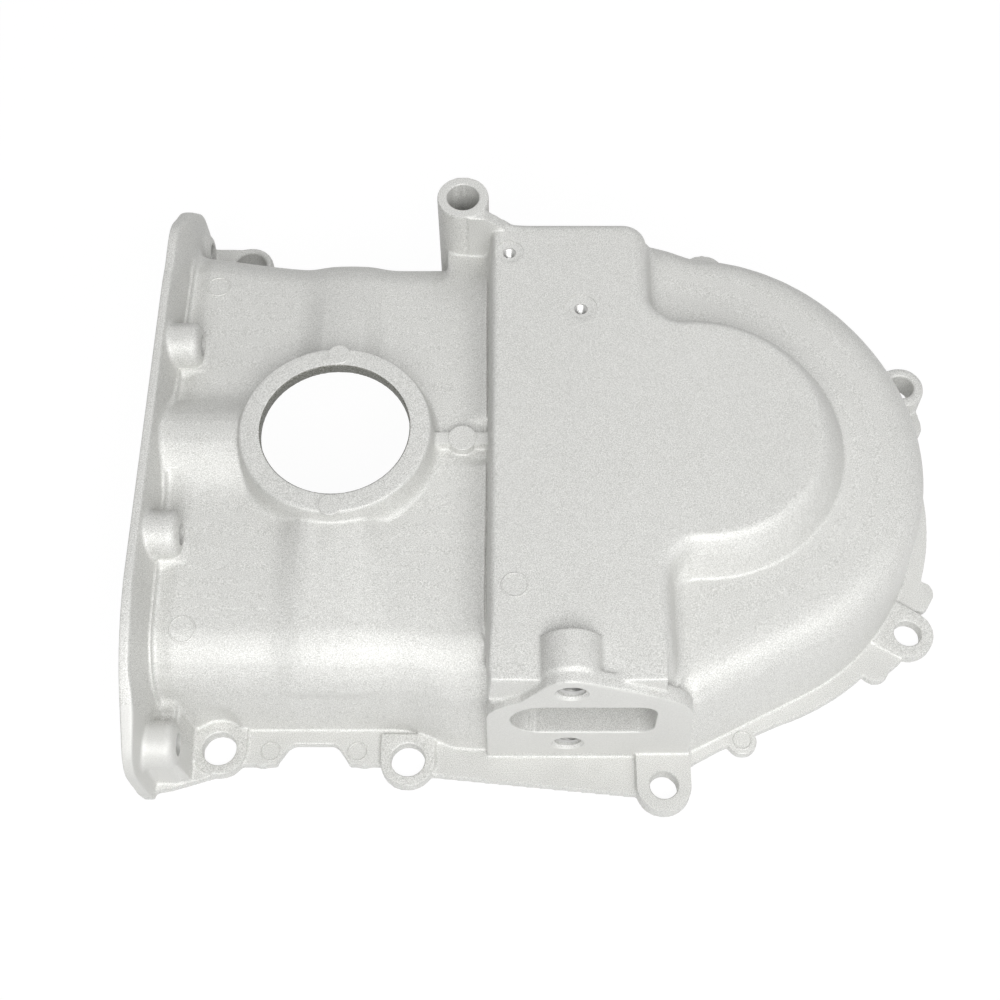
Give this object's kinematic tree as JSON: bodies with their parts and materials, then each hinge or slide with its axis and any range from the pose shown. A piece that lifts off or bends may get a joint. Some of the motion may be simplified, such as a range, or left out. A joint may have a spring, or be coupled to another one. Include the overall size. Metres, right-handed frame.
{
  "type": "timing cover",
  "caption": "Cast aluminium timing cover for a V engine: gear housing, crank seal ring, fuel pump flange, arched pan flange and ears at the gasket rim.",
  "frame": {"origin": "on the crank axis, in the plane of the gasket face", "axes": "+X from the crank axis towards the cam axis, +Y away from the fuel pump, +Z away from the engine block"},
  "size_m": [0.2996, 0.2459, 0.0741],
  "materials": {
    "casting": "shot-blasted raw casting with machined faces"
  },
  "bodies": {
    "root": {"timing_cover": "casting"}
  },
  "joints": []
}
